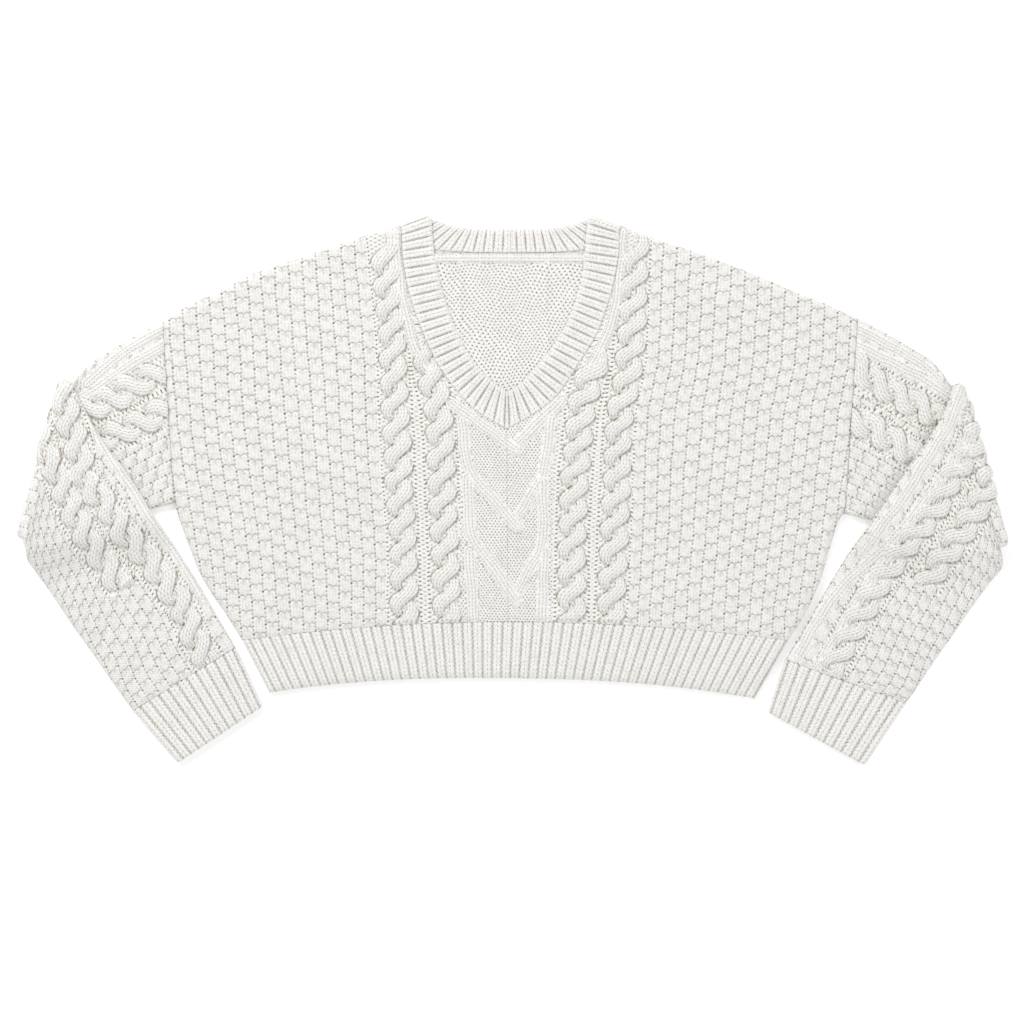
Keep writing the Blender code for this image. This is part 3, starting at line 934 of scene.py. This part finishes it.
def back_inside(material):
    """The inside of the back as it shows through the neck, with the linking seam of the neckband."""
    bottom, top = np.array([(-40.0, 62.0), (30.0, 62.0)]), np.array([(-97.0, 236.6), (94.0, 236.6)])
    left, right = np.array([bottom[0], top[0]]), np.array([bottom[1], top[1]])
    rows = COARSE * round(180 / INSIDE_STEP / COARSE) + 1
    columns = COARSE * round(170 / INSIDE_STEP / COARSE) + 1
    grid = filled(spread(bottom, columns), spread(top, columns), spread(left, rows), spread(right, rows))
    moved = grid + INSIDE_WANDER * (wobble(grid) - grid)
    layer = wrong_side(moved[..., 0], moved[..., 1])
    layer = layer.over(cord(*local(grid, [(-95.0, 231.5), (92.0, 231.5)]), half=5.2, lift=3.0))
    z = CLOTH + 0.2 + layer.height * neck_window(grid)
    laid_piece("back_inside", "back_panel", grid, z, CLOTH - 0.4, layer, material, "knit")


def neck_window(points):
    """1 inside the neck opening and 0 a little way under the neckband."""
    inside = np.ones(points.shape[:2])
    for side, sign in zip(SIDES, (-1, 1)):
        free = smooth([row[2:] for row in NECK_FRONT[side]])
        edge = np.interp(points[..., 1], free[:, 1], free[:, 0])
        inside = inside * ease((sign * (edge - points[..., 0]) + 8) / 6)
    return inside


# The welts, the neckband and the cuffs.

def welt(name, node, front, material):
    """A band of rib along the hem: the front one faces up and the back one lies on the surface."""
    top = np.vstack([rib_top("left", 200), rib_top("right", 200)[-2::-1]])
    span = HEM_CORNER["right"][0] - HEM_CORNER["left"][0]
    step = RIB_STEP if front else BACK_STEP
    columns = COARSE * round(1.05 * span / step / COARSE) + 1
    rows = COARSE * round(60 / step / COARSE) + 1
    t = np.linspace(0, 1, 200)[:, None]
    hem = np.array(HEM_CORNER["left"]) * (1 - t) + np.array(HEM_CORNER["right"]) * t
    arch = HEM_CENTRE - (HEM_CORNER["left"][1] + HEM_CORNER["right"][1]) / 2
    hem[:, 1] += arch * (1 - np.abs(2 * t[:, 0] - 1) ** 2.4)
    hem, top = spread(hem, columns), spread(top, columns)
    grid = filled(top, hem, spread([top[0], hem[0]], rows), spread([top[-1], hem[-1]], rows))
    along = np.linalg.norm(grid - grid[:1], axis=-1)
    across = np.broadcast_to(np.linspace(0, WELT_RIBS, columns), grid.shape[:2])
    layer = rib(across, along)
    sides = [np.array([top[0], hem[0]]), np.array([top[-1], hem[-1]])]
    away = np.min([distance_to(grid, line) for line in sides + [hem]], axis=0)
    fall = dome(1 - np.clip(away / EDGE_ROLL, 0, 1))
    if front:
        z = MIDDLE + HALF_GAP + (TOP - MIDDLE - HALF_GAP - 0.4 + layer.height) * fall
        laid_piece(name, node, grid, z, MIDDLE + 0.2, layer, material, "rib")
    else:
        inset = UNDER_RELIEF * (1 - np.clip(layer.height / 2.3, 0, 1))
        z = (MIDDLE - HALF_GAP) * (1 - fall) + inset * fall
        laid_piece(name, node, grid, z, CLOTH, layer, material, "rib")


def band_rows(side, turns=10):
    """Rows across the band from centre front to centre back: its two ends, how far it has turned
    under, and the run of its middle, stretched to a whole number of ribs."""
    front, back = smooth(NECK_FRONT[side]), smooth(NECK_BACK[side])
    fold = np.repeat(front[-1:], turns, axis=0)
    rows = np.vstack([front, fold, back])
    rolling = np.linspace(0, 180, turns + 2)[1:-1]
    turn = np.concatenate([np.zeros(len(front)), rolling, np.full(len(back), 180.0)])
    middle = (rows[:, :2] + rows[:, 2:]) / 2
    arc = np.radians(np.diff(turn, prepend=0.0)) * MIDDLE
    run = lengths_of(middle) + np.cumsum(arc)
    at = np.linspace(0, run[-1], round(run[-1] / BAND_STEP))
    dense = [np.interp(at, run, rows[:, i]) for i in range(4)]
    ribs = round(run[-1] / BAND_RIB)
    return np.stack(dense + [np.interp(at, run, turn), at / run[-1] * ribs], axis=1)


def neckband(material):
    """The ring of rib: flat on the front, rolled under at the neck points, and flat across the back."""
    ring = np.vstack([band_rows("left"), band_rows("right")[-2:0:-1]])
    link, free, turn, ribs = ring[:, :2], ring[:, 2:4], ring[:, 4], ring[:, 5]
    width = np.linalg.norm(free - link, axis=1)
    unit = (free - link) / width[:, None]
    upward = np.stack([-unit[:, 1], unit[:, 0]], axis=1) * np.sign(unit[:, :1])
    t = np.linspace(0, 1, round(BAND_WIDTH / BAND_STEP))[:, None]
    grid = link * (1 - t[..., None]) + free * t[..., None]
    down = t * width
    taper = ease(down / 7) * ease((width - down) / 9)
    layer = rib(ribs + 0.5 + 0 * down, down, trough=0.02 + BAND_TROUGH * taper)
    rounded = dome(1 - np.clip((width - down) / 5.0, 0, 1))
    groove = 0.8 * bell(down, 2.2)
    cos, sin = np.cos(np.radians(turn)), np.sin(np.radians(turn))
    core = (SLIT + CLOTH) / 2
    show_front, show_back = ease(0.5 + 2 * cos), ease(-2 * cos) * neck_window(grid)
    top = core + CLOTH / 2 * rounded + (layer.height - 0.3) * show_front * rounded - groove * show_front
    low = core - CLOTH / 2 * rounded - 0.7 * layer.height * show_back * rounded + groove * show_back
    skins = [np.dstack([grid + upward * (h * sin)[..., None], MIDDLE + h * cos]) for h in (top, low)]
    piece = shell("neck_rib", *skins, layer, material, "rib", step=1, closed=True, inner_layer=layer)
    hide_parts("neckband")
    cut(np.dstack([grid, MIDDLE * np.radians(turn) + 0 * down]), closed=True)


# The sleeves and cuffs: flattened tubes.

def dense_rows(rows, step):
    """Rows of section ends read about a step apart along a smooth path through them."""
    rows = smooth(rows)
    run = lengths_of((rows[:, :2] + rows[:, 2:]) / 2)
    at = np.linspace(0, run[-1], max(round(run[-1] / step), 2))
    return np.stack([np.interp(at, run, rows[:, i]) for i in range(4)], axis=1), at


def ring_of(width, count, cap, half):
    """A flattened tube's section for each width: place across, height in the stack, the outward
    direction, the unrolled place across, and whether it is on the front cloth.

    It runs along the back cloth, round the far end, back along the front cloth and round the start.
    """
    flat = np.broadcast_to(np.linspace(0, 1, count, endpoint=False), (len(width), count))
    bend = np.broadcast_to(np.linspace(-np.pi / 2, np.pi / 2, cap, endpoint=False), (len(width), cap))
    cos, sin = np.cos(bend), np.sin(bend)
    none, full = np.zeros_like(flat), np.ones_like(flat)
    width = width[:, None]
    out = MIDDLE + flat * (width - 2 * MIDDLE)
    back = width - out
    lean = np.hstack([none, cos, none, -cos])
    lift = np.hstack([-full, sin, full, -sin])
    ends = 0 * bend
    across = np.hstack([out, width - MIDDLE + ends, back, MIDDLE + ends]) + half * lean
    edge = MIDDLE * (np.pi / 2 - np.abs(bend))
    unrolled = np.hstack([out, width - MIDDLE + edge, back, MIDDLE - edge])
    front = np.hstack([none, bend >= 0, full, bend < 0])
    return across, MIDDLE + half * lift, lean, lift, unrolled, front


def drape(points, side):
    """How high the forearm's underside lies: over the upper sleeve, then down past its lower edge."""
    near, far = np.array(FLANK[side][-1], float), np.array(UPPER_SLEEVE[side][-1][2:], float)
    unit = (far - near) / np.linalg.norm(far - near)
    down = np.array([-unit[1], unit[0]]) if side == "left" else np.array([unit[1], -unit[0]])
    past = (points - near) @ down
    return DECK * (1 - ease((past - DRAPE_START) / DRAPE_RUN))


def tube_points(rows, turn, section, relief, side, outward):
    """The places of a tube's section points on each row, with relief added outwards."""
    across, height, lean, lift = section[:4]
    start, end = rows[:, None, :2], rows[:, None, 2:]
    unit = (end - start) / np.linalg.norm(end - start, axis=-1, keepdims=True)
    across = across + lean * relief
    height = height + lift * relief
    plane = start + unit * across[..., None]
    swing = np.radians(turn)[:, None]
    arm = HINGE - height
    swung = plane + outward * (arm * np.sin(swing))[..., None]
    level = np.where(turn[:, None] >= 180, drape(swung, side) - DECK, 0.0)
    return np.dstack([swung, HINGE - arm * np.cos(swing) + level])


def tube_piece(name, node, side, rows, turn, section, relief, layer, material, slot):
    """A tube with its relief outside and a smooth inside, half a slit from the middle of the stack."""
    outward = elbow_out(side)
    outer = tube_points(rows, turn, section, relief, side, outward)
    outer[..., 2] = np.maximum(outer[..., 2], 0.0)
    plain = tube_points(rows, turn, section, 0.0, side, outward)
    columns = (section[0].shape[1] - 2 * CAP_COLUMNS) // 2
    rows, turn = rows[::COARSE], turn[::COARSE]
    slim = ring_of(widths(rows), columns // COARSE, CAP_COLUMNS // COARSE, SLIT / 2)
    inside = tube_points(rows, turn, slim, 0.0, side, outward)
    piece = shell(name, outer, inside, layer, material, slot, closed=True)
    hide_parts(node)
    cut(plain, closed=True)


def widths(rows):
    """How wide the flattened tube is at each row."""
    return np.linalg.norm(rows[:, 2:] - rows[:, :2], axis=1)


def sleeve_rows(side):
    """The whole sleeve from the armhole to the cuff: section ends, turn at the elbow and run."""
    upper, upper_run = dense_rows(UPPER_SLEEVE[side], SLEEVE_STEP)
    lower, lower_run = dense_rows(FOREARM[side], SLEEVE_STEP)
    fold = np.repeat(upper[-1:], FOLD_ROWS, axis=0)
    bend = np.linspace(0, 180, FOLD_ROWS + 1)[1:]
    rows = np.vstack([upper, fold, lower[1:]])
    turn = np.concatenate([np.zeros(len(upper)), bend, np.full(len(lower) - 1, 180.0)])
    arc = np.radians(bend) * HINGE
    run = np.concatenate([upper_run, upper_run[-1] + arc, upper_run[-1] + arc[-1] + lower_run[1:]])
    count = COARSE * round(len(rows) / COARSE) + 1
    index = np.linspace(0, len(rows) - 1, count)
    at = np.arange(len(rows))
    rows = np.stack([np.interp(index, at, rows[:, i]) for i in range(4)], axis=1)
    return rows, np.interp(index, at, turn), np.interp(index, at, run), upper_run[-1]


def elbow_out(side):
    """The direction in which the sleeve goes over its hinge line."""
    hinge = np.array(UPPER_SLEEVE[side][-1], float)
    unit = (hinge[2:] - hinge[:2]) / np.linalg.norm(hinge[2:] - hinge[:2])
    return np.array([unit[1], -unit[0]]) if side == "left" else np.array([-unit[1], unit[0]])


def sleeve_layer(points, side, part, run, unrolled):
    """The stitches on one face of a sleeve: blocks along it, with ropes and travelling ribs."""
    points = wobble(points)
    found = blocks((unrolled + 0.8 * np.sin(run / 13)) / SLEEVE_BLOCK, run, SLEEVE_SHIFT[side])
    for line in SLEEVE_ROPES[side][part]:
        line = smooth(line)
        along, aside = local(points, line)
        shown = ease((ROPE_GAP - np.abs(aside)) / 3) * ease((lengths_of(line)[-1] - along) / 4)
        found = found.blend(ladder(aside, along), shown)
    for line in SLEEVE_CORDS[side][part]:
        found = found.over(cord(*local(points, smooth(line))))
    for line in SLEEVE_ROPES[side][part]:
        line = smooth(line)
        along, aside = local(points, line)
        cable = rope(along, -aside)
        cable.height = np.where(along < lengths_of(line)[-1] - 0.5, cable.height, HIDDEN)
        found = found.over(cable)
    return found


def sleeve_relief(side, height, section, width, turn, run, elbow, points):
    """How far a sleeve's stitches stand out: on the forearm's upper face, round the fold, and on the
    part of the upper sleeve that the forearm leaves bare. The undersides are only cut in a little."""
    unrolled, front = section[4], section[5] > 0.5
    past = turn / 180.0
    inner = smooth([row[:2] for row in FOREARM[side]])
    edge = np.interp(points[..., 1], inner[::-1, 1], inner[::-1, 0])
    clear = (points[..., 0] - edge) if side == "left" else (edge - points[..., 0])
    bare = ease((clear + 6) / 6) * (past < 0.01) * ease((elbow - run) / 10)
    seam = 1.6 * bell(run, 2.6) * (past < 0.5)
    folded = ease(past * 3)
    cut_in = UNDER_RELIEF * (1 - np.clip(height / 2.4, 0, 1)) * (1 - folded)
    back = (folded * height - cut_in) * settled((run[-1] - run) / 6)
    relief = np.where(front, bare * height - seam, back)
    rounding = ease(np.minimum(unrolled, width - unrolled) / 7)
    return relief * (0.3 + 0.7 * rounding)


def sleeve(side, material):
    """A tube from the armhole to the cuff, folded over at the elbow."""
    rows, turn, run, elbow = sleeve_rows(side)
    width = widths(rows)
    section = ring_of(width, SLEEVE_COLUMNS, CAP_COLUMNS, MIDDLE)
    unrolled, front = section[4], section[5] > 0.5
    start, unit = rows[:, None, :2], ((rows[:, 2:] - rows[:, :2]) / width[:, None])[:, None]
    points = start + unit * unrolled[..., None]
    swung = points + elbow_out(side) * (HINGE * np.radians(180 - turn))[:, None, None]
    run = run[:, None]
    upper = sleeve_layer(points, side, "upper", run, unrolled)
    lower = sleeve_layer(swung, side, "forearm", run, unrolled)
    layer = upper.blend(lower, 1.0 * ~front)
    relief = sleeve_relief(side, layer.height, section, width[:, None], turn[:, None], run, elbow, points)
    name, node = "sleeve_" + side, side + "_sleeve"
    tube_piece(name, node, side, rows, turn, section, relief, layer, material, "knit")


def cuff(side, material):
    """A tube of rib that goes on from the forearm and is open at the wrist."""
    rows = np.array([FOREARM[side][-1], CUFF_END[side]], float)
    both_sides = np.linalg.norm(rows[1] - rows[0])
    length = both_sides / math.sqrt(2)
    count = COARSE * round(length / RIB_STEP / COARSE) + 1
    t = np.linspace(0, 1, count)[:, None]
    rows = rows[:1] * (1 - t) + rows[1:] * t
    turn = np.full(count, 180.0)
    width = widths(rows)
    section = ring_of(width, CUFF_COLUMNS, CAP_COLUMNS, MIDDLE)
    unrolled, front = section[4], section[5] > 0.5
    down = t * length
    middle = width[:, None] / 2
    layer = rib((unrolled - middle) / (2 * middle) * CUFF_RIBS + 0 * down, down)
    shown = np.where(front, 0.0, layer.height - 0.4)
    end = 1.6 * (1 - dome(1 - np.clip((length - down) / 4.0, 0, 1)))
    relief = shown * (1 - 0.3 * end) - end - 0.2 * bell(down, 2.4) * ~front
    tube_piece("cuff_" + side, side + "_cuff", side, rows, turn, section, relief, layer, material, "rib")


# The stage.

def floor():
    """A white surface, lit a little from within so that it stays white around the garment."""
    bpy.ops.mesh.primitive_plane_add(size=12.0, location=(0.0, 0.0, -0.0004))
    plane = bpy.context.object
    plane.name = "floor"
    material = bpy.data.materials.new("floor")
    material.use_nodes = True
    shader = material.node_tree.nodes["Principled BSDF"]
    shader.inputs["Base Color"].default_value = (0.93, 0.93, 0.93, 1.0)
    shader.inputs["Roughness"].default_value = 0.9
    shader.inputs["Emission Color"].default_value = (1.0, 1.0, 1.0, 1.0)
    shader.inputs["Emission Strength"].default_value = 0.24
    plane.data.materials.append(material)


def soft_light(name, place, target, size, power):
    data = bpy.data.lights.new(name, "AREA")
    data.shape = "DISK"
    data.size = size
    data.energy = power
    lamp = bpy.data.objects.new(name, data)
    lamp.location = place
    lamp.rotation_euler = (Vector(target) - Vector(place)).to_track_quat("-Z", "Y").to_euler()
    bpy.context.scene.collection.objects.link(lamp)


def lighting():
    """A white studio with a soft key from the upper left and a fill from the lower right."""
    world = bpy.data.worlds.new("studio")
    world.use_nodes = True
    back = world.node_tree.nodes["Background"]
    back.inputs["Color"].default_value = (1.0, 1.0, 1.0, 1.0)
    back.inputs["Strength"].default_value = WORLD_STRENGTH
    bpy.context.scene.world = world
    bpy.context.scene.view_settings.view_transform = "Standard"
    middle = (0.0, 0.0, 0.0)
    soft_light("key", (-1.1, 1.7, 1.8), middle, 0.9, KEY_POWER)
    soft_light("fill", (1.6, -0.8, 1.9), middle, 1.6, FILL_POWER)


def camera():
    """Straight above, far enough away for VIEW_WIDTH metres to fill the picture."""
    data = bpy.data.cameras.new("camera")
    data.sensor_width = 36.0
    data.lens = 85.0
    distance = VIEW_WIDTH * data.lens / data.sensor_width
    view = bpy.data.objects.new("camera", data)
    view.location = (0.0, VIEW_CENTRE_Y, distance + TOP * MM)
    bpy.context.scene.collection.objects.link(view)
    bpy.context.scene.camera = view


def main():
    camera()
    lighting()
    floor()
    knit = knit_material("knit")
    ribbed = knit_material("rib")
    back_panel(knit)
    back_inside(knit)
    welt("front_welt", "front_hem_rib", True, ribbed)
    welt("back_welt", "back_hem_rib", False, ribbed)
    neckband(ribbed)
    for side in SIDES:
        front_half(side, knit)
        sleeve(side, knit)
        cuff(side, ribbed)


main()
